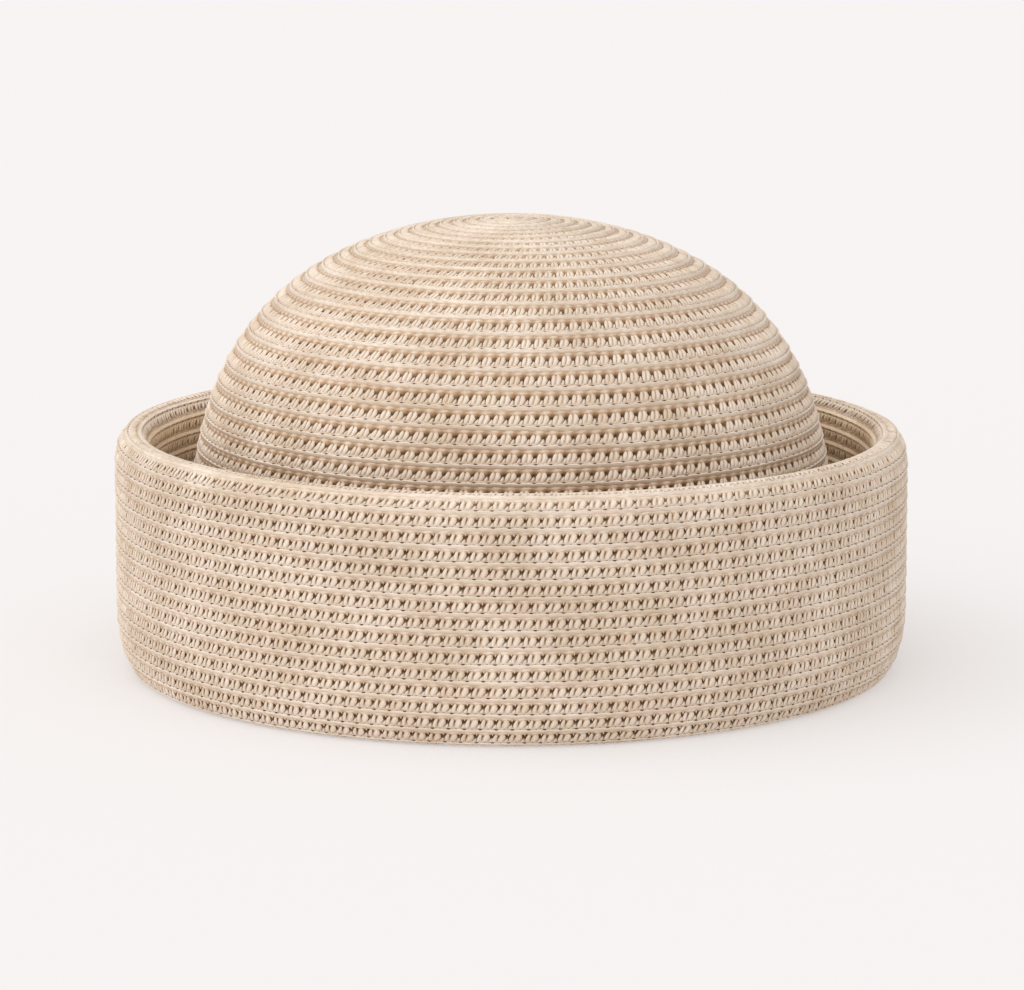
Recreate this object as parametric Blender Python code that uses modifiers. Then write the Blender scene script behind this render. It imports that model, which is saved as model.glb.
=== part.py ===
"""Sewn braid hat: a domed crown on a brim that turns up into a tall cuff with a rolled rim.

Metres, +Z up, X across the head and Y along it. The origin is on the resting plane, in the
middle of the head opening. Both pieces are turned about Z as a profile and then drawn out
along Y, because a head is longer than it is wide. The profiles carry the rows of braid: each
row's edge nearer the crown's foot stands over the row beside it.
"""
import math

import bmesh
import bpy

# Head opening
HEAD_HALF_WIDTH = 0.0901
HEAD_EXTRA_LENGTH = 0.0090      # what the crown's half length has over its half width

# Braid
BRAID_THICKNESS = 0.0026
CROWN_ROW = 0.0050              # one row of the crown, measured along its slope
CUFF_ROW = 0.0044               # one row of the brim
ROW_RELIEF = 0.0009             # how far a row's edge stands over the next row
ROW_LEDGE = 0.0004              # width of the step under that edge

# Crown: the outline is half_width * (1 - (z / height) ** shoulder) ** (1 / crest)
CROWN_HEIGHT = 0.1273
CROWN_SHOULDER = 3.70
CROWN_CREST = 2.06

# Brim
NECK_BEND = 0.0024              # inner radius of the bend from the crown's foot to the floor
TROUGH_WIDTH = 0.0096           # between the crown and the hem
CUFF_HEIGHT = 0.0678
TURN_WIDTH = 0.0062             # the turn from the floor up to the cuff, across
TURN_HEIGHT = 0.0184            # and up
TURN_FULLNESS = 2.0
RIM_HEIGHT = 0.0100             # how far below its crest the rolled rim starts
RIM_FULLNESS = 2.3
HEM_GAP = 0.0052                # air between the cuff and the hem that the roll turns down
HEM_DROP = 0.0370               # from the rim's crest down to the hem's free edge
RIM_LEAN = 0.0004               # how much lower the rim stands at the right, and higher at the left

SEAT_GAP = 0.0003               # between the crown's foot and the neck that carries it

# Facets
SEGMENTS = 36
DOME_STEPS = 13
CURVE_STEPS = 48                # fine steps that the rows are measured along
BEND_STEPS = 4

# Sizes that follow from the ones above
CROWN_HALF_WIDTH = HEAD_HALF_WIDTH + BRAID_THICKNESS
NECK_RADIUS = NECK_BEND + BRAID_THICKNESS
NECK_TOP = NECK_RADIUS
CROWN_FOOT = NECK_TOP + SEAT_GAP
RIM_HALF_WIDTH = BRAID_THICKNESS + HEM_GAP / 2
HEM_FACE = CROWN_HALF_WIDTH + TROUGH_WIDTH
RIM_MIDDLE = HEM_FACE + RIM_HALF_WIDTH
CUFF_HALF_WIDTH = RIM_MIDDLE + RIM_HALF_WIDTH
HEM_EDGE = CUFF_HEIGHT - HEM_DROP

STRAW = (0.72, 0.60, 0.46, 1.0)
STRAW_ROUGHNESS = 0.75


def clear_scene():
    """Take out whatever the file held."""
    for thing in list(bpy.data.objects):
        bpy.data.objects.remove(thing, do_unlink=True)


def straw(name):
    """A matte straw finish."""
    material = bpy.data.materials.new(name)
    material.use_nodes = True
    shader = material.node_tree.nodes["Principled BSDF"]
    shader.inputs["Base Color"].default_value = STRAW
    shader.inputs["Roughness"].default_value = STRAW_ROUGHNESS
    shader.inputs["Metallic"].default_value = 0.0
    return material


def arc(centre, across, up, start, end, fullness=2.0, steps=BEND_STEPS):
    """Points of a rounded corner from one angle to another; fullness 2 is an ellipse."""
    points = []
    for step in range(steps + 1):
        angle = math.radians(start + (end - start) * step / steps)
        cosine, sine = math.cos(angle), math.sin(angle)
        points.append((
            centre[0] + across * math.copysign(abs(cosine) ** (2 / fullness), cosine),
            centre[1] + up * math.copysign(abs(sine) ** (2 / fullness), sine),
        ))
    return points


def dome(half_width, height, foot, steps):
    """The crown's outline from its foot up to its tip, closer together towards the tip."""
    points = []
    for step in range(steps):
        lift = math.sin(math.pi / 2 * step / steps)
        z = foot + (height - foot) * lift
        fill = 1 - (z / height) ** CROWN_SHOULDER
        points.append((half_width * fill ** (1 / CROWN_CREST), z))
    points.append((0.0, height))
    return points


def along(path):
    """A function that gives the point and the outward normal at a distance along a path."""
    lengths = [0.0]
    for first, second in zip(path, path[1:]):
        lengths.append(lengths[-1] + math.dist(first, second))

    def at(distance):
        index = 0
        while index < len(path) - 2 and lengths[index + 1] < distance:
            index += 1
        first, second = path[index], path[index + 1]
        span = lengths[index + 1] - lengths[index]
        share = (distance - lengths[index]) / span
        run = ((second[0] - first[0]) / span, (second[1] - first[1]) / span)
        point = (first[0] + share * (second[0] - first[0]), first[1] + share * (second[1] - first[1]))
        return point, (run[1], -run[0])

    return at, lengths[-1]


def rows(path, row):
    """Rows of braid along a path: each starts proud, a ledge above the one before, and ends low."""
    at, length = along(path)
    count = max(1, round(length / row))
    points = []
    for index in range(count):
        edge, normal = at(length * index / count)
        if index:
            points.append((edge[0] - ROW_RELIEF * normal[0], edge[1] - ROW_RELIEF * normal[1]))
            edge, normal = at(length * index / count + ROW_LEDGE)
        points.append(edge)
    edge, normal = at(length)
    points.append((edge[0] - ROW_RELIEF * normal[0], edge[1] - ROW_RELIEF * normal[1]))
    return points


def crown_profile():
    """Down the rows outside, across the foot and up the smooth inside, from tip to tip."""
    outside = rows(dome(CROWN_HALF_WIDTH, CROWN_HEIGHT, CROWN_FOOT, CURVE_STEPS), CROWN_ROW)
    outside[-1] = (0.0, outside[-1][1])
    inside = dome(HEAD_HALF_WIDTH, CROWN_HEIGHT - BRAID_THICKNESS, CROWN_FOOT, DOME_STEPS)
    return list(reversed(outside)) + inside


def brim_profile():
    """The brim's closed section: the outer face from the hem down to the floor, then the inner."""
    turn_centre = (CUFF_HALF_WIDTH - TURN_WIDTH, TURN_HEIGHT)
    rim_centre = (RIM_MIDDLE, CUFF_HEIGHT - RIM_HEIGHT)
    face = arc(turn_centre, TURN_WIDTH, TURN_HEIGHT, -90, 0, TURN_FULLNESS, CURVE_STEPS)
    face += arc(rim_centre, RIM_HALF_WIDTH, RIM_HEIGHT, 0, 180, RIM_FULLNESS, CURVE_STEPS)
    face.append((HEM_FACE, HEM_EDGE))
    outer = list(reversed(rows(face, CUFF_ROW)))
    neck_centre = (CROWN_HALF_WIDTH + NECK_BEND, NECK_TOP)
    neck_outside = arc(neck_centre, NECK_RADIUS, NECK_RADIUS, -90, -180)
    neck_inside = arc(neck_centre, NECK_BEND, NECK_BEND, -180, -90)
    turn_inside = arc(
        turn_centre, TURN_WIDTH - BRAID_THICKNESS, TURN_HEIGHT - BRAID_THICKNESS, -90, 0, TURN_FULLNESS
    )
    rim_inside = arc(
        rim_centre, RIM_HALF_WIDTH - BRAID_THICKNESS, RIM_HEIGHT - BRAID_THICKNESS, 0, 180, RIM_FULLNESS
    )
    hem_back = [(HEM_FACE + BRAID_THICKNESS, HEM_EDGE)]
    return outer + neck_outside + neck_inside + turn_inside + rim_inside + hem_back


def turned(name, profile, closed):
    """Turn a profile about Z with a Screw modifier and make the result a plain mesh."""
    mesh = bpy.data.meshes.new(name + "_profile")
    sketch = bmesh.new()
    corners = [sketch.verts.new((x, 0.0, z)) for x, z in profile]
    for first, second in zip(corners, corners[1:]):
        sketch.edges.new((first, second))
    if closed:
        sketch.edges.new((corners[-1], corners[0]))
    sketch.to_mesh(mesh)
    sketch.free()

    piece = bpy.data.objects.new(name, mesh)
    bpy.context.scene.collection.objects.link(piece)
    screw = piece.modifiers.new("Turn", "SCREW")
    screw.axis = "Z"
    screw.angle = math.tau
    screw.steps = SEGMENTS
    screw.render_steps = SEGMENTS
    screw.use_merge_vertices = True
    screw.merge_threshold = 0.00001
    bpy.context.view_layer.update()
    graph = bpy.context.evaluated_depsgraph_get()
    solid = bpy.data.meshes.new_from_object(piece.evaluated_get(graph))
    solid.name = name
    piece.modifiers.clear()
    piece.data = solid
    bpy.data.meshes.remove(mesh)
    return piece


def lean_rim(brim):
    """Let the cuff lean down to the right above its turn, in proportion to the height."""
    for corner in brim.data.vertices:
        x, y, z = corner.co
        share = max(z - TURN_HEIGHT, 0.0) / (CUFF_HEIGHT - TURN_HEIGHT)
        corner.co.z = z - RIM_LEAN * x / math.hypot(x, y) * share


def lengthen(piece):
    """Draw a round piece out along Y, in proportion inside the crown and evenly outside it."""
    for corner in piece.data.vertices:
        x, y, z = corner.co
        radius = math.hypot(x, y)
        if radius > 0:
            share = min(radius / CROWN_HALF_WIDTH, 1.0)
            corner.co.y = y + HEAD_EXTRA_LENGTH * share * y / radius


def finish(piece, material, collection):
    """Smooth shading with the rows' edges kept sharp, a finish and a place in the collection."""
    piece.data.shade_smooth()
    piece.data.set_sharp_from_angle(angle=math.radians(35))
    piece.data.materials.append(material)
    bpy.context.scene.collection.objects.unlink(piece)
    collection.objects.link(piece)


def main():
    clear_scene()
    hat = bpy.data.collections.new("braid_hat")
    bpy.context.scene.collection.children.link(hat)
    crown = turned("crown", crown_profile(), closed=False)
    brim = turned("brim", brim_profile(), closed=True)
    lean_rim(brim)
    for piece in (crown, brim):
        lengthen(piece)
        finish(piece, straw(piece.name + "_straw"), hat)


main()
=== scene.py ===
# %% [markdown]
# # A sewn straw hat with a turned-up brim
# The hat is a single ribbon of straw braid, coiled from the tip of the crown down to its foot and,
# for the brim, from the hidden hem up over the rim and down the outside. Each turn overlaps the
# next one and ends in a thick edge cord. So this lesson models one stitch of that braid
# and then lays thousands of copies along the same coil that the maker's sewing machine follows.

# %% Load the hat's frame
import math

import bmesh
import bpy
import numpy as np
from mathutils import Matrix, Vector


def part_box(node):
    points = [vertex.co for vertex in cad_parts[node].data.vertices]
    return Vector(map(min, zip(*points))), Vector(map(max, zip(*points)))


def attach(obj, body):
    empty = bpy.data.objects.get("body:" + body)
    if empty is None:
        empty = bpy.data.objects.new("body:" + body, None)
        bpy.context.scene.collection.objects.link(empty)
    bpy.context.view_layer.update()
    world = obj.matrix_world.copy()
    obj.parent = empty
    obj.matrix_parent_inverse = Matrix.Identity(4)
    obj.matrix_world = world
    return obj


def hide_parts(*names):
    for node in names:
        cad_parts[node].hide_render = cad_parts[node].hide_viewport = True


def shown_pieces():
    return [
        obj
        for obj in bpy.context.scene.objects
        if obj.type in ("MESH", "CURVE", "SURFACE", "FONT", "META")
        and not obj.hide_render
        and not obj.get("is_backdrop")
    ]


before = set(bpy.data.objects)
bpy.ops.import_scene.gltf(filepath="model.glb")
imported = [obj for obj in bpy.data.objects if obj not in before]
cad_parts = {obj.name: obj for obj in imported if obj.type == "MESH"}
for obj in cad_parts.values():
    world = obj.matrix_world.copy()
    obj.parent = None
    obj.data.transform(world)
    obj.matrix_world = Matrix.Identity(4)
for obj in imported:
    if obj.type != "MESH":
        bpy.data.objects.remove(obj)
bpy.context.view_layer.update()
crown_low, crown_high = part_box("crown")
brim_low, brim_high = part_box("brim")

# %% [markdown]
# ## The two lines that the braid follows
# A turned hat is fully told by its outline, so each piece gets one line of (radius, height) points.
# The crown's line runs from the tip to the foot. The brim's runs from the hem's free edge, up the
# hem, over the rolled rim, down the cuff, round the turn and along the floor to the neck. The
# lengths come from the frame where it has them, and the rest are the hat's own proportions.

# %% Sizes of the hat
MM = 0.001
crown_half_width = crown_high.x
crown_height = crown_high.z
cuff_half_width = brim_high.x
head_extra_length = brim_high.y - brim_high.x

BRAID_THICKNESS = 2.6 * MM
CROWN_SHOULDER = 3.70
CROWN_CREST = 2.06
NECK_RADIUS = 5.0 * MM
TURN_WIDTH = 6.2 * MM
TURN_HEIGHT = 18.4 * MM
TURN_FULLNESS = 2.0
RIM_HALF_WIDTH = 5.2 * MM
RIM_HEIGHT = 10.0 * MM
RIM_FULLNESS = 2.3
HEM_DROP = 37.0 * MM
RIM_LEAN = 0.4 * MM
cuff_height = brim_high.z - RIM_LEAN
LINE_STEP = 0.2 * MM
LINE_BLUR = 7
CORNER_POINTS = 400
CROWN_POINTS = 1500


# %% Points of the outlines
def corner(centre, across, up, start, end, fullness):
    """A rounded corner from one angle to another; fullness 2 is an ellipse."""
    angle = np.radians(np.linspace(start, end, CORNER_POINTS))
    cosine, sine = np.cos(angle), np.sin(angle)
    radius = centre[0] + across * np.sign(cosine) * np.abs(cosine) ** (2 / fullness)
    height = centre[1] + up * np.sign(sine) * np.abs(sine) ** (2 / fullness)
    return np.column_stack((radius, height))


def crown_outline():
    """From the tip to the foot, closer together towards the tip."""
    height = crown_height * np.sin(np.linspace(math.pi / 2, 0, CROWN_POINTS))
    height = height[height > crown_low.z]
    fill = 1 - (height / crown_height) ** CROWN_SHOULDER
    return np.column_stack((crown_half_width * fill ** (1 / CROWN_CREST), height))


def brim_outline():
    """From the hem's free edge over the rim and down to the neck."""
    rim = (cuff_half_width - RIM_HALF_WIDTH, cuff_height - RIM_HEIGHT)
    turn = (cuff_half_width - TURN_WIDTH, TURN_HEIGHT)
    neck = (crown_half_width - BRAID_THICKNESS + NECK_RADIUS, NECK_RADIUS)
    hem_edge = (rim[0] - RIM_HALF_WIDTH, cuff_height - HEM_DROP)
    return np.vstack((
        hem_edge,
        corner(rim, RIM_HALF_WIDTH, RIM_HEIGHT, 180, 0, RIM_FULLNESS),
        corner(turn, TURN_WIDTH, TURN_HEIGHT, 0, -90, TURN_FULLNESS),
        corner(neck, NECK_RADIUS, NECK_RADIUS, 270, 180, 2),
    ))


# %% Turn an outline into a line that can be walked along
def walk(outline, leans):
    """Even steps along an outline, with the direction that points out of the hat at each."""
    run = np.concatenate(([0], np.cumsum(np.hypot(*np.diff(outline, axis=0).T))))
    steps = np.linspace(0, run[-1], int(run[-1] / LINE_STEP) + 1)
    radius = np.interp(steps, run, outline[:, 0])
    height = np.interp(steps, run, outline[:, 1])
    out = np.column_stack((-np.gradient(height, steps), np.gradient(radius, steps)))
    blur = np.ones(LINE_BLUR) / LINE_BLUR
    padded = [np.pad(side, LINE_BLUR // 2, "edge") for side in out.T]
    out = np.column_stack([np.convolve(side, blur, "valid") for side in padded])
    out /= np.linalg.norm(out, axis=1)[:, None]
    return {"steps": steps, "radius": radius, "height": height, "out": out,
            "length": run[-1], "leans": leans}


def place(line, turn, distance, lift):
    """Points on the hat: turns round from the front, distance along the line, lift off it."""
    steps = line["steps"]
    radius = np.interp(distance, steps, line["radius"])
    height = np.interp(distance, steps, line["height"])
    radius = radius + lift * np.interp(distance, steps, line["out"][:, 0])
    height = height + lift * np.interp(distance, steps, line["out"][:, 1])
    angle = math.tau * (turn - 0.25)
    half_length = radius + head_extra_length * np.minimum(radius / crown_half_width, 1)
    if line["leans"]:
        share = np.maximum(height - TURN_HEIGHT, 0) / (cuff_height - TURN_HEIGHT)
        height = height - RIM_LEAN * np.cos(angle) * share
    return np.stack((radius * np.cos(angle), half_length * np.sin(angle), height), axis=-1)


crown_line = walk(crown_outline(), leans=False)
brim_line = walk(brim_outline(), leans=True)
print("crown line", round(crown_line["length"] / MM, 1), "mm")
print("brim line", round(brim_line["length"] / MM, 1), "mm")

# %% [markdown]
# ## The coil
# On the real hat each row sinks by its own width in one turn, so the rows are one endless coil.
# The lower edge of the braid after so many turns from the front is a distance along the line, and
# its upper edge is simply where the lower edge was one turn before. The crown's middle rows are
# drawn up a little, so that they lie closer above and wider below, and hand feeding makes all rows
# waver by about a tenth of a millimetre. The maker holds the rows nearly level across the front and
# lets them sink towards the back, where it doesn't show.

# %% Rows of the crown and the brim
CROWN_ROW = 4.794 * MM
CROWN_FIRST_EDGE = 2.54 * MM
DRAWN_UP = 8.0 * MM
DRAWN_MIDDLE = 53.2 * MM
DRAWN_REACH = 63.2 * MM
CUFF_ROW = 4.52 * MM
TOP_CORD_HEIGHT = 62.6 * MM
WAVER = 0.07 * MM
BRIM_WAVER_TURN = 0.37
CROWN_LEVEL = 0.5
CUFF_LEVEL = 0.9


def waver(turn):
    """Slow small swings of a row, never the same in two turns."""
    swings = np.sin(17.9 * turn + 1.0) + 0.8 * np.sin(41.3 * turn) + 0.5 * np.sin(97.1 * turn + 2.0)
    return WAVER * swings


def held_level(turn, share):
    """Turns round the hat, slowed at the front and hurried at the back."""
    return turn - share * np.sin(math.tau * turn) / math.tau


def crown_edge(turn):
    """How far down the crown's line the braid's lower edge lies after so many turns."""
    even = CROWN_FIRST_EDGE + CROWN_ROW * held_level(turn, CROWN_LEVEL)
    share = np.clip(np.abs(even - DRAWN_MIDDLE) / DRAWN_REACH, 0, 1)
    edge = even - DRAWN_UP * np.cos(share * math.pi / 2) ** 2 + waver(turn)
    return np.clip(edge, 0, crown_line["length"])


outside = brim_line["radius"] > cuff_half_width - RIM_HALF_WIDTH
cuff_steps = brim_line["steps"][outside]
cuff_heights = brim_line["height"][outside]
top_cord = np.interp(-TOP_CORD_HEIGHT, -cuff_heights, cuff_steps)
BRIM_FIRST_EDGE = top_cord % CUFF_ROW


def brim_edge(turn):
    """The same along the brim's line."""
    even = BRIM_FIRST_EDGE + CUFF_ROW * held_level(turn, CUFF_LEVEL)
    return np.clip(even + waver(turn + BRIM_WAVER_TURN), 0, brim_line["length"])


# %% Lengths of a pair of stitches
TIP_STITCH = 2.7
STITCH_GROWTH = 1.3
STITCH_REACH = 100 * MM
CUFF_STITCH = 4.24 * MM


def crown_stitch(distance):
    """Finer at the tip, where the braid is pulled tighter; its first two sizes are millimetres."""
    return (TIP_STITCH + STITCH_GROWTH * np.minimum(distance / STITCH_REACH, 1) ** 2) * MM


def cuff_stitch(distance):
    """The same all over the brim."""
    return np.full_like(distance, CUFF_STITCH)


# %% Count the stitches along a coil
MOST_TURNS = 40
TURN_SAMPLES = 240
START_WIDTH = 0.6 * MM
END_WIDTH = 0.3 * MM


def coil(line, edge, stitch):
    """The coil as a table: how many stitches lie between its start and each turn."""
    turns = np.arange(-1, MOST_TURNS, 1 / TURN_SAMPLES)
    turns = turns[(edge(turns) > START_WIDTH) & (edge(turns - 1) < line["length"] - END_WIDTH)]
    middle = (edge(turns - 1) + edge(turns)) / 2
    spots = place(line, turns, middle, 0)
    steps = np.linalg.norm(np.diff(spots, axis=0), axis=1) / stitch(middle[1:])
    numbers = np.concatenate(([0], np.cumsum(steps)))
    return {"line": line, "edge": edge, "turns": turns, "numbers": numbers, "middle": middle}


crown_coil = coil(crown_line, crown_edge, crown_stitch)
brim_coil = coil(brim_line, brim_edge, cuff_stitch)
print("pairs of stitches", int(crown_coil["numbers"][-1]), int(brim_coil["numbers"][-1]))

# %% [markdown]
# ## One stitch
# A pair of stitches is two plump fingers of straw that lean to the right and press against each
# other, so that only a V-shaped hole between two pairs and a narrow slit inside each pair stay
# open. A finger could be cut from a cube, but a ball already has the two closed ends of a strand,
# so every strand starts as a ball with few sides, and each of its rings is then moved and sized as
# a section. In the stitch's own space X runs along the row in pairs, Y runs up the row from its
# lower edge at 0 to its upper edge at 1, and Z comes out of the hat in metres.


# %% Helpers for modelling
ASIDE = 10


def start_clean():
    """Leave edit mode and let go of everything."""
    if bpy.context.object and bpy.context.object.mode != "OBJECT":
        bpy.ops.object.mode_set(mode="OBJECT")
    bpy.ops.object.select_all(action="DESELECT")


def pick(piece, wanted):
    """In edit mode, select the corners whose place is wanted, and nothing else."""
    bpy.ops.mesh.select_mode(type="VERT")
    bpy.ops.mesh.select_all(action="DESELECT")
    cage = bmesh.from_edit_mesh(piece.data)
    for point in cage.verts:
        point.select_set(wanted(point.co))
    cage.select_flush(True)
    bmesh.update_edit_mesh(piece.data)


# %% A strand of straw from a ball
def strand(name, sides, sections):
    """A closed strand. Each section is (Y, left X, right X, back Z, front Z), bottom to top."""
    start_clean()
    rings = len(sections) - 1
    bpy.ops.mesh.primitive_uv_sphere_add(segments=sides, ring_count=rings, radius=0.5)
    piece = bpy.context.object
    piece.name = name
    bpy.ops.object.mode_set(mode="EDIT")
    bpy.ops.transform.rotate(value=-math.pi / 2, orient_axis="X", center_override=(0, 0, 0))
    for index, (up, left, right, back, out) in enumerate(sections):
        height = -0.5 * math.cos(math.pi * index / rings)
        ring = 0.5 * math.sin(math.pi * index / rings)
        pick(piece, lambda place: abs(place.y - height) < 0.01)
        if ring > 0.01:
            size = ((right - left) / (2 * ring), 1, (out - back) / (2 * ring))
            bpy.ops.transform.resize(value=size, center_override=(0, height, 0))
        # Aside of the ball, so that no later ring is picked with this one
        shift = ((left + right) / 2, up - height + ASIDE, (back + out) / 2)
        bpy.ops.transform.translate(value=shift)
    bpy.ops.mesh.select_all(action="SELECT")
    bpy.ops.transform.translate(value=(0, -ASIDE, 0))
    bpy.ops.object.mode_set(mode="OBJECT")
    return piece


# %% A length of the braid's body
def body_length(name, section):
    """One pair's length of the body: a closed section of (Y, Z) at its ends and (Y, Z) between."""
    start_clean()
    bpy.ops.mesh.primitive_cylinder_add(
        vertices=len(section), radius=1, depth=1, end_fill_type="NOTHING",
        location=(0.5, 0, 0), rotation=(0, math.pi / 2, 0),
    )
    piece = bpy.context.object
    piece.name = name
    bpy.ops.object.transform_apply(location=True, rotation=True, scale=True)
    bpy.ops.object.mode_set(mode="EDIT")
    bpy.ops.mesh.select_all(action="SELECT")
    bpy.ops.mesh.bisect(plane_co=(0.5, 0, 0), plane_no=(1, 0, 0))
    cage = bmesh.from_edit_mesh(piece.data)
    edges = [(point.co.y, point.co.z) for point in cage.verts if point.co.x < 0.1]
    edges.sort(key=lambda edge: math.atan2(edge[1], edge[0]))
    for edge, (end_up, end_out, up, out) in zip(edges, section):
        for middle, to in ((False, (end_up, end_out)), (True, (up, out))):
            pick(piece, lambda place: math.dist((place.y, place.z), edge) < 0.01
                 and (abs(place.x - 0.5) < 0.1) == middle)
            # Aside of the cylinder, as above
            bpy.ops.transform.translate(value=(0, to[0] - edge[0], to[1] - edge[1] + ASIDE))
    bpy.ops.mesh.select_all(action="SELECT")
    bpy.ops.transform.translate(value=(0, 0, -ASIDE))
    bpy.ops.object.mode_set(mode="OBJECT")
    return piece


# %% Read a finished pattern
def pattern(*pieces):
    """Join pieces into one pattern, read its points, faces and map, and clear it away."""
    start_clean()
    for piece in pieces:
        piece.select_set(True)
    bpy.context.view_layer.objects.active = pieces[0]
    if len(pieces) > 1:
        bpy.ops.object.join()
    # A new ball's corners come in no fixed order, so they are put in one
    bpy.ops.object.mode_set(mode="EDIT")
    bpy.ops.mesh.select_all(action="SELECT")
    bpy.ops.mesh.sort_elements(type="CURSOR_DISTANCE", elements={"VERT", "EDGE", "FACE"})
    bpy.ops.object.mode_set(mode="OBJECT")
    mesh = pieces[0].data
    points = np.zeros(3 * len(mesh.vertices))
    mesh.vertices.foreach_get("co", points)
    loops = np.zeros(len(mesh.loops), int)
    mesh.loops.foreach_get("vertex_index", loops)
    starts = np.zeros(len(mesh.polygons), int)
    mesh.polygons.foreach_get("loop_start", starts)
    chart = np.zeros(2 * len(mesh.loops))
    mesh.uv_layers[0].uv.foreach_get("vector", chart)
    mesh.calc_loop_triangles()
    facets = len(mesh.loop_triangles)
    bpy.data.objects.remove(pieces[0])
    return {"points": points.reshape(-1, 3), "loops": loops, "starts": starts,
            "chart": chart.reshape(-1, 2), "facets": facets}


# %% [markdown]
# ## The crown's stitch and the cuff's
# A pair has two fingers that grow from the seam, and a short cut strand that fills the foot of the
# hole between two pairs. On the crown the fingers' round tips end a little below the cord of the
# row above, and a shaded band of the ground shows over them. On the cuff, which is the braid's
# other side, the fingers reach almost up to that cord, and one more strand crosses in each hole.

# %% Model the crown's stitch
crown_stitch_pattern = pattern(
    strand("right_finger", 5, (
        (0.270, 0.06, 0.20, -0.60 * MM, -0.25 * MM),
        (0.365, 0.00, 0.28, -0.70 * MM, -0.02 * MM),
        (0.570, 0.04, 0.40, -0.80 * MM, 0.02 * MM),
        (0.760, 0.16, 0.42, -1.00 * MM, -0.07 * MM),
        (0.870, 0.25, 0.37, -0.90 * MM, -0.30 * MM),
    )),
    strand("left_finger", 5, (
        (0.270, 0.36, 0.56, -0.60 * MM, -0.25 * MM),
        (0.365, 0.31, 0.65, -0.70 * MM, -0.01 * MM),
        (0.570, 0.40, 0.82, -0.80 * MM, 0.02 * MM),
        (0.760, 0.46, 0.76, -1.00 * MM, -0.07 * MM),
        (0.870, 0.54, 0.68, -0.90 * MM, -0.30 * MM),
    )),
    strand("cut_strand", 4, (
        (0.265, 0.76, 0.92, -0.60 * MM, -0.25 * MM),
        (0.380, 0.66, 1.00, -0.80 * MM, -0.03 * MM),
        (0.520, 0.82, 1.02, -0.90 * MM, -0.06 * MM),
        (0.620, 0.93, 0.98, -0.90 * MM, -0.45 * MM),
    )),
)
print("crown stitch", crown_stitch_pattern["facets"], "triangles")

# %% Model the cuff's stitch
cuff_stitch_pattern = pattern(
    strand("right_finger", 5, (
        (0.280, 0.06, 0.20, -0.60 * MM, -0.25 * MM),
        (0.385, -0.01, 0.28, -0.70 * MM, -0.03 * MM),
        (0.600, 0.03, 0.31, -0.80 * MM, -0.02 * MM),
        (0.800, 0.14, 0.35, -1.00 * MM, -0.09 * MM),
        (0.930, 0.20, 0.34, -0.90 * MM, -0.32 * MM),
    )),
    strand("left_finger", 5, (
        (0.280, 0.38, 0.60, -0.60 * MM, -0.25 * MM),
        (0.385, 0.33, 0.69, -0.70 * MM, -0.02 * MM),
        (0.600, 0.37, 0.86, -0.80 * MM, -0.02 * MM),
        (0.800, 0.49, 0.83, -1.00 * MM, -0.09 * MM),
        (0.930, 0.60, 0.77, -0.90 * MM, -0.32 * MM),
    )),
    strand("cut_strand", 4, (
        (0.275, 0.80, 0.94, -0.60 * MM, -0.25 * MM),
        (0.375, 0.70, 1.01, -0.80 * MM, -0.03 * MM),
        (0.500, 0.82, 1.03, -0.90 * MM, -0.05 * MM),
        (0.590, 0.94, 1.00, -0.90 * MM, -0.45 * MM),
    )),
    strand("cross_strand", 4, (
        (0.680, 0.98, 1.02, -1.20 * MM, -0.80 * MM),
        (0.760, 0.96, 1.05, -1.30 * MM, -0.40 * MM),
        (0.860, 0.94, 1.07, -1.20 * MM, -0.25 * MM),
        (0.950, 0.95, 1.06, -1.00 * MM, -0.45 * MM),
    )),
)
print("cuff stitch", cuff_stitch_pattern["facets"], "triangles")

# %% [markdown]
# ## The braid's body
# Behind the fingers runs the body of the braid, which is one long closed section: its flat back,
# the ground that sinks into a pit at the point of each hole, the seam, and the edge cord, whose top
# is drawn in once a pair, where the thread goes round it. That gives its wavy upper edge.

# %% Model the bodies
crown_body_pattern = pattern(body_length("body", (
    (0.020, -2.60 * MM, 0.020, -2.60 * MM),
    (1.100, -2.20 * MM, 1.100, -2.20 * MM),
    (1.060, -0.55 * MM, 1.060, -0.50 * MM),
    (0.900, -0.76 * MM, 0.870, -0.54 * MM),
    (0.715, -1.95 * MM, 0.640, -0.64 * MM),
    (0.300, -0.25 * MM, 0.318, -0.20 * MM),
    (0.255, -0.65 * MM, 0.284, -0.38 * MM),
    (0.200, 0.02 * MM, 0.262, 0.08 * MM),
    (0.180, 0.16 * MM, 0.205, 0.21 * MM),
    (0.118, -0.34 * MM, 0.123, -0.32 * MM),
    (0.000, -0.60 * MM, 0.000, -0.58 * MM),
)))
cuff_body_pattern = pattern(body_length("body", (
    (0.020, -2.60 * MM, 0.020, -2.60 * MM),
    (1.100, -2.20 * MM, 1.100, -2.20 * MM),
    (1.060, -0.46 * MM, 1.060, -0.40 * MM),
    (0.885, -0.66 * MM, 0.855, -0.50 * MM),
    (0.700, -1.45 * MM, 0.650, -0.80 * MM),
    (0.310, -0.25 * MM, 0.328, -0.20 * MM),
    (0.265, -0.60 * MM, 0.292, -0.35 * MM),
    (0.204, 0.00 * MM, 0.264, 0.04 * MM),
    (0.180, 0.12 * MM, 0.205, 0.16 * MM),
    (0.115, -0.24 * MM, 0.120, -0.22 * MM),
    (0.000, -0.46 * MM, 0.000, -0.44 * MM),
)))
for label, shape in (("crown", crown_body_pattern), ("cuff", cuff_body_pattern)):
    print(label, "body", shape["facets"], "triangles")

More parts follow.
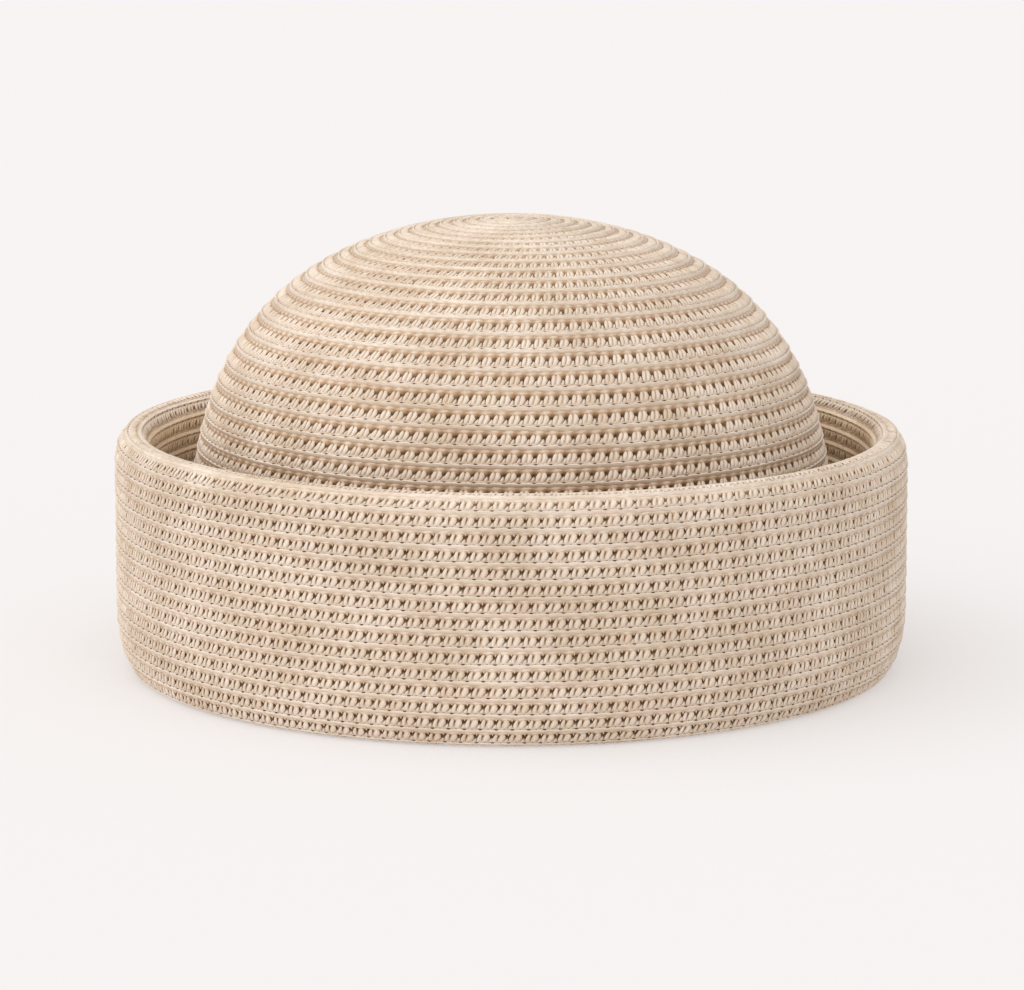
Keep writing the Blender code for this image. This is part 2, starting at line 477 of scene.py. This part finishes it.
# %% [markdown]
# ## Laying the braid
# A copy is laid by turning its X into a place along the coil and its Y into a distance down the
# line. Every copy slips, leans and lifts a little by itself, as hand-fed straw does, and keeps a
# tone of its own for the finish, which is also told how deep each point lies and where the seam
# runs. Over the rolled rim the straw is drawn tight, which closes its holes. The copies could be
# objects of their own, but nine thousand of them would be slow and hard to handle. So they are
# placed as whole arrays of points at once and end up in one joined mesh.

# %% Small differences and depths of a laid copy
SLIP = 0.03
LEAN = 0.05
LIFT = 0.05 * MM
STRETCH = 0.03
SHADE_FROM = -0.45 * MM
SHADE_TO = -1.2 * MM
BACK_OF_BRAID = -2.1 * MM
STRAND_SHADE = 0.3
FINGER_FOOT = 0.3
SEAM_FROM = 0.24
SEAM_TO = 0.30
SEAM_DEPTH = -0.3 * MM
TONE_PAIRS = 5
ROLL_PULL = 0.8


# %% Lay copies of a pattern
def stitch_jitter(count, seed):
    """Small differences of each copy: along the row, lean, lift and height."""
    draw = np.random.default_rng(seed)
    return [draw.normal(0, spread, count)[:, None] for spread in (SLIP, LEAN, LIFT, STRETCH)]


def drawn_tight(line, distance):
    """How far the straw is drawn tight over the rolled rim, which closes its holes."""
    up = np.interp(distance, line["steps"], line["out"][:, 1])
    return ROLL_PULL * np.clip(up, 0, 1) * line["leans"]


def joined_copies(name, shape, count, spots):
    """One mesh of as many copies of a pattern, with every point at its spot."""
    mesh = bpy.data.meshes.new(name)
    points = len(shape["points"])
    mesh.vertices.add(count * points)
    mesh.vertices.foreach_set("co", spots.ravel())
    copies = np.arange(count)[:, None]
    loops = (shape["loops"] + copies * points).ravel()
    mesh.loops.add(len(loops))
    mesh.loops.foreach_set("vertex_index", loops)
    starts = (shape["starts"] + copies * len(shape["loops"])).ravel()
    mesh.polygons.add(len(starts))
    mesh.polygons.foreach_set("loop_start", starts)
    mesh.update(calc_edges=True)
    mesh.shade_smooth()
    return mesh, loops


def keep(mesh, name, values):
    """Keep a number for each point, for the finish to read."""
    mesh.attributes.new(name, "FLOAT", "POINT").data.foreach_set("value", values.ravel())


def lay(name, shape, coil, first, last, seed, jitter=True):
    """One mesh of copies of a pattern, from one stitch number to another."""
    numbers = np.arange(first, last)
    count = len(numbers)
    along, up, out = shape["points"].T
    slip, lean, lift, stretch = stitch_jitter(count, seed) if jitter else (0, 0, 0, 0)
    along = numbers[:, None] + along + slip + lean * (up - 0.5)
    turn = np.interp(along, coil["numbers"], coil["turns"])
    low, high = coil["edge"](turn), coil["edge"](turn - 1)
    distance = low - (FINGER_FOOT + (up - FINGER_FOOT) * (1 + stretch)) * (low - high)
    hole = (out < SHADE_FROM) & (out > BACK_OF_BRAID)
    out = out + drawn_tight(coil["line"], distance) * np.where(hole, SHADE_FROM - out, 0)
    spots = place(coil["line"], turn, distance, out + lift)
    spots[..., 2] = np.maximum(spots[..., 2], brim_low.z)
    mesh, loops = joined_copies(name, shape, count, spots)

    chart = mesh.uv_layers.new(name="strand")
    spread = np.tile(shape["chart"], (count, 1))
    draw = np.random.default_rng(seed + 1)
    if jitter:
        tones = np.repeat(draw.random(count), len(up))
    else:
        spread[:, 1] = along.ravel()[loops]
        stretches = np.arange(first, last + TONE_PAIRS + 1, TONE_PAIRS)
        tones = np.interp(along.ravel(), stretches, draw.random(len(stretches)))
    chart.uv.foreach_set("vector", spread.ravel())
    keep(mesh, "tone", tones)
    # Painted shade: the deeper a point lies, the browner and darker the finish paints it, and more
    # weakly on the strands.
    depth = np.clip((out - SHADE_FROM) / (SHADE_TO - SHADE_FROM), 0, 1) * (out > BACK_OF_BRAID)
    keep(mesh, "recess_shade", depth * (STRAND_SHADE if jitter else 1))
    # The seam's points carry the painted shade of the needle's holes.
    sunk = (up > SEAM_FROM) & (up < SEAM_TO) & (out < SEAM_DEPTH) & (not jitter)
    keep(mesh, "seam", sunk.astype(float))
    piece = bpy.data.objects.new(name, mesh)
    bpy.context.scene.collection.objects.link(piece)
    print(name, count * shape["facets"], "triangles")
    return piece


# %% Weld a laid tube
WELD_REACH = 0.001 * MM


def weld(piece):
    """Join each length to the next, and close the two ends."""
    start_clean()
    piece.select_set(True)
    bpy.context.view_layer.objects.active = piece
    bpy.ops.object.mode_set(mode="EDIT")
    bpy.ops.mesh.select_all(action="SELECT")
    bpy.ops.mesh.remove_doubles(threshold=WELD_REACH)
    bpy.ops.mesh.select_all(action="SELECT")
    bpy.ops.mesh.fill_holes(sides=12)
    bpy.ops.object.mode_set(mode="OBJECT")
    return piece


# %% [markdown]
# ## Finishes
# Straw is a matt, slightly waxy strand. No two are the same cream, and each has fine fibres along
# it. The tone that each copy carries picks its tint, a noise stretched along the strand gives the
# fibres, and a broad noise over the hat gives the patches of darker straw. Deep places and the
# undersides of the cords get painted shade, browner and darker, and along the seam a large and a
# small dot of painted shade a pair stand for the dark inside the needle's holes.


# %% Helpers for finishes
def finish_tree(name):
    """A new material, its tree and its shader."""
    material = bpy.data.materials.new(name)
    material.use_nodes = True
    tree = material.node_tree
    return material, tree, tree.nodes["Principled BSDF"]


def add(tree, kind, **values):
    """A node with values for its named inputs or properties."""
    made = tree.nodes.new(kind)
    for name, value in values.items():
        socket = made.inputs.get(name.replace("_", " ").title()) or made.inputs.get(name)
        if socket is not None:
            socket.default_value = value
        else:
            setattr(made, name, value)
    return made


def ramp(tree, stops):
    """A ramp through colours, each at a place from 0 to 1."""
    made = tree.nodes.new("ShaderNodeValToRGB")
    band = made.color_ramp
    while len(band.elements) < len(stops):
        band.elements.new(0.5)
    for element, (at, colour) in zip(band.elements, stops):
        element.position = at
        element.color = colour
    return made


def multiply(tree, first, second):
    """The product of two colours."""
    made = add(tree, "ShaderNodeMix", data_type="RGBA", blend_type="MULTIPLY")
    made.inputs["Factor"].default_value = 1.0
    tree.links.new(first, made.inputs[6])
    tree.links.new(second, made.inputs[7])
    return made.outputs[2]


def rgb(red, green, blue):
    """A display colour from 0 to 255 as the linear one that a shader takes."""
    linear = []
    for level in (red, green, blue):
        share = level / 255
        linear.append(share / 12.92 if share <= 0.04045 else ((share + 0.055) / 1.055) ** 2.4)
    return (*linear, 1.0)


# %% Straw strands
def needle_hole_shade(tree, chart):
    """A strong dot of painted shade at each pair's start and a weak one at its middle, along the
    seam only, for the dark inside the needle's holes.
    """
    link = tree.links.new
    split = add(tree, "ShaderNodeSeparateXYZ")
    link(chart.outputs["UV"], split.inputs["Vector"])
    waves = []
    for cycles, weight in ((1, 0.3), (2, 0.7)):
        angle = add(tree, "ShaderNodeMath", operation="MULTIPLY")
        angle.inputs[1].default_value = cycles * math.tau
        link(split.outputs["Y"], angle.inputs[0])
        wave = add(tree, "ShaderNodeMath", operation="COSINE")
        link(angle.outputs["Value"], wave.inputs[0])
        weighted = add(tree, "ShaderNodeMath", operation="MULTIPLY")
        weighted.inputs[1].default_value = weight
        link(wave.outputs["Value"], weighted.inputs[0])
        waves.append(weighted)
    both = add(tree, "ShaderNodeMath", operation="ADD")
    link(waves[0].outputs["Value"], both.inputs[0])
    link(waves[1].outputs["Value"], both.inputs[1])
    seam = add(tree, "ShaderNodeAttribute", attribute_name="seam")
    hole = add(tree, "ShaderNodeMath", operation="MULTIPLY")
    link(both.outputs["Value"], hole.inputs[0])
    link(seam.outputs["Fac"], hole.inputs[1])
    # Painted shade: the seam darkens to brown in these dots.
    tint = ramp(tree, ((0.05, rgb(255, 255, 255)), (0.42, rgb(106, 78, 52))))
    link(hole.outputs["Value"], tint.inputs["Fac"])
    return tint.outputs["Color"]


def straw_strand(name, shade):
    """The straw's finish. Shade is what the outermost straw is multiplied with; inside the roll it
    is a warmer tint, painted for the light that bounces between the straws.
    """
    material, tree, shader = finish_tree(name)
    link = tree.links.new
    shader.inputs["Roughness"].default_value = 0.62
    shader.inputs["Specular IOR Level"].default_value = 0.3
    shader.inputs["Sheen Weight"].default_value = 0.12

    tone = add(tree, "ShaderNodeAttribute", attribute_name="tone")
    tints = ramp(tree, (
        (0.00, rgb(238, 221, 202)),
        (0.30, rgb(243, 228, 211)),
        (0.60, rgb(246, 232, 217)),
        (0.85, rgb(243, 226, 211)),
        (1.00, rgb(237, 217, 196)),
    ))
    link(tone.outputs["Fac"], tints.inputs["Fac"])

    place_on_hat = add(tree, "ShaderNodeTexCoord")
    patches = add(tree, "ShaderNodeTexNoise", scale=55.0, detail=3.0)
    link(place_on_hat.outputs["Object"], patches.inputs["Vector"])
    patch_tint = ramp(tree, ((0.35, rgb(240, 236, 230)), (0.65, rgb(255, 255, 255))))
    link(patches.outputs["Fac"], patch_tint.inputs["Fac"])
    patched = multiply(tree, tints.outputs["Color"], patch_tint.outputs["Color"])

    chart = add(tree, "ShaderNodeUVMap", uv_map="strand")
    stretched = add(tree, "ShaderNodeMapping")
    stretched.inputs["Scale"].default_value = (26.0, 2.0, 1.0)
    link(chart.outputs["UV"], stretched.inputs["Vector"])
    fibres = add(tree, "ShaderNodeTexNoise", noise_dimensions="4D", scale=1.0, detail=2.0)
    link(stretched.outputs["Vector"], fibres.inputs["Vector"])
    own = add(tree, "ShaderNodeMath", operation="MULTIPLY")
    own.inputs[1].default_value = 12.0
    link(tone.outputs["Fac"], own.inputs[0])
    link(own.outputs["Value"], fibres.inputs["W"])
    fibre_tint = ramp(tree, ((0.30, rgb(228, 220, 210)), (0.60, rgb(255, 255, 255))))
    link(fibres.outputs["Fac"], fibre_tint.inputs["Fac"])
    fibred = multiply(tree, patched, fibre_tint.outputs["Color"])

    # Painted shade: deep points and the undersides of the cords are multiplied towards dark brown.
    recess_shade = add(tree, "ShaderNodeAttribute", attribute_name="recess_shade")
    recess_shade_tint = ramp(tree, ((0.0, shade), (0.35, rgb(206, 180, 150)), (1.0, rgb(82, 57, 38))))
    link(recess_shade.outputs["Fac"], recess_shade_tint.inputs["Fac"])
    recess_shaded = multiply(tree, fibred, recess_shade_tint.outputs["Color"])
    link(multiply(tree, recess_shaded, needle_hole_shade(tree, chart)), shader.inputs["Base Color"])

    bump = add(tree, "ShaderNodeBump", strength=0.5)
    bump.inputs["Distance"].default_value = 0.0001
    link(fibres.outputs["Fac"], bump.inputs["Height"])
    link(bump.outputs["Normal"], shader.inputs["Normal"])
    return material


# %% Two finishes: inside the roll the straw is painted a warmer cream, a painted bounce light
strand_finish = straw_strand("straw_strand", rgb(255, 255, 255))
# Painted light: the warmer tint stands for the warm light that bounces inside the roll.
inner_bounce_tinted_finish = straw_strand("inner_straw_bounce_tint", rgb(255, 247, 229))
print("finishes", strand_finish.name, inner_bounce_tinted_finish.name)


# %% Dress a piece
def dress(piece, finish, node):
    """Give a piece its finish and its body, and hide the frame's node that it stands for."""
    piece.data.materials.append(finish)
    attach(piece, "root")
    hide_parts(node)


# %% [markdown]
# ## The crown
# The crown's fingers are laid in two pieces, so that neither is too heavy, and stop where nobody
# sees down into the narrow trough. The body of its braid is one unbroken tube from the tip to the
# foot.

# %% Lay the crown
CROWN_HIDDEN = 26 * MM
crown_last = int(crown_coil["numbers"][-1])
shown = crown_line["length"] - CROWN_HIDDEN
crown_shown = int(np.interp(shown, crown_coil["middle"], crown_coil["numbers"]))
crown_half = crown_shown // 2
crown_top_braid = lay("crown_top_braid", crown_stitch_pattern, crown_coil, 0, crown_half, 11)
crown_side_braid = lay(
    "crown_side_braid", crown_stitch_pattern, crown_coil, crown_half, crown_shown, 12
)
crown_body = weld(lay("crown_body", crown_body_pattern, crown_coil, 0, crown_last, 13, False))
for piece in (crown_top_braid, crown_side_braid, crown_body):
    dress(piece, strand_finish, "crown")

# %% [markdown]
# ## The brim
# The same for the brim, in three stretches of fingers: the upper hem inside the roll, the rim with
# the upper half of the cuff, and the rest down to the floor. Deep in the trough and under the hat,
# where nothing shows, the body of the braid has no fingers.

# %% Share the brim's coil out
HEM_SHOWN = 22 * MM
ROLL_STARTS = 4.5 * MM
UPPER_CUFF = 36 * MM
UNDER_THE_HAT = 18 * MM


def brim_stitch_at(distance):
    """The number of the stitch at a distance along the brim's line."""
    return int(np.interp(distance, brim_coil["middle"], brim_coil["numbers"]))


brim_last = int(brim_coil["numbers"][-1])
crest = brim_line["steps"][np.argmax(brim_line["height"])]
hem_first = brim_stitch_at(crest - HEM_SHOWN)
hem_last = brim_stitch_at(crest - ROLL_STARTS)
cuff_half = brim_stitch_at(crest + UPPER_CUFF)
cuff_last = brim_stitch_at(brim_line["length"] - UNDER_THE_HAT)
print("stitches of the brim's stretches", hem_first, hem_last, cuff_half, cuff_last, brim_last)

# %% Lay the brim
hem_braid = lay("hem_braid", cuff_stitch_pattern, brim_coil, hem_first, hem_last, 21)
upper_cuff_braid = lay("upper_cuff_braid", cuff_stitch_pattern, brim_coil, hem_last, cuff_half, 22)
lower_cuff_braid = lay("lower_cuff_braid", cuff_stitch_pattern, brim_coil, cuff_half, cuff_last, 23)
hem_body = weld(lay("hem_body", cuff_body_pattern, brim_coil, 0, hem_last, 24, False))
cuff_body = weld(lay("cuff_body", cuff_body_pattern, brim_coil, hem_last, brim_last, 25, False))
for piece in (upper_cuff_braid, lower_cuff_braid, cuff_body):
    dress(piece, strand_finish, "brim")
for piece in (hem_braid, hem_body):
    dress(piece, inner_bounce_tinted_finish, "brim")

# %% [markdown]
# ## Floor, light and camera
# The hat stands on a plain pale floor that runs far back, so that it fills the picture behind the
# hat too. It is a light table, which glows a little and so keeps the shadows faint. One broad soft
# sun from the upper left, in front, models the stitches, and an even pale sky fills the shadows.
# The camera looks slightly down, through a long lens.

# %% Floor
start_clean()
bpy.ops.mesh.primitive_plane_add(size=60)
floor = bpy.context.object
floor.name = "floor"
floor_finish, floor_tree, floor_shader = finish_tree("pale_floor")
floor_shader.inputs["Base Color"].default_value = rgb(179, 176, 175)
floor_shader.inputs["Roughness"].default_value = 1.0
floor_shader.inputs["Specular IOR Level"].default_value = 0.0
floor_shader.inputs["Emission Color"].default_value = rgb(255, 252, 251)
floor_shader.inputs["Emission Strength"].default_value = 0.42
floor.data.materials.append(floor_finish)
floor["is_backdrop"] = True
print("floor", [round(side, 1) for side in floor.dimensions], "m")

# %% Light
world = bpy.data.worlds.new("pale_sky")
bpy.context.scene.world = world
world.use_nodes = True
world.node_tree.nodes["Background"].inputs["Color"].default_value = (1.0, 1.0, 1.0, 1.0)
world.node_tree.nodes["Background"].inputs["Strength"].default_value = 0.70
start_clean()
bpy.ops.object.light_add(type="SUN", rotation=(math.radians(38), 0, math.radians(-48)))
sun = bpy.context.object
sun.data.energy = 1.74
sun.data.angle = math.radians(110)
tilt = math.degrees(sun.rotation_euler.x)
print("sun", round(sun.data.energy, 2), "tilted by", round(tilt), "degrees")

# %% Camera
bpy.ops.object.camera_add(
    location=(0.0002, -1.3, 0.2683), rotation=(math.radians(90 - 9.642), 0, 0)
)
camera = bpy.context.object
camera.data.sensor_width = 36
camera.data.lens = 162.18
bpy.context.scene.camera = camera
bpy.context.scene.view_settings.view_transform = "Standard"
print("camera", round(camera.location.length, 2), "m away, lens", round(camera.data.lens, 1), "mm")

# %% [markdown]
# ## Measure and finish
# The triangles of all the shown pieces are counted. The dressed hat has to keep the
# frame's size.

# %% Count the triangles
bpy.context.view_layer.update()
total = 0
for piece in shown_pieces():
    piece.data.calc_loop_triangles()
    total += len(piece.data.loop_triangles)
print("triangles in all", total)
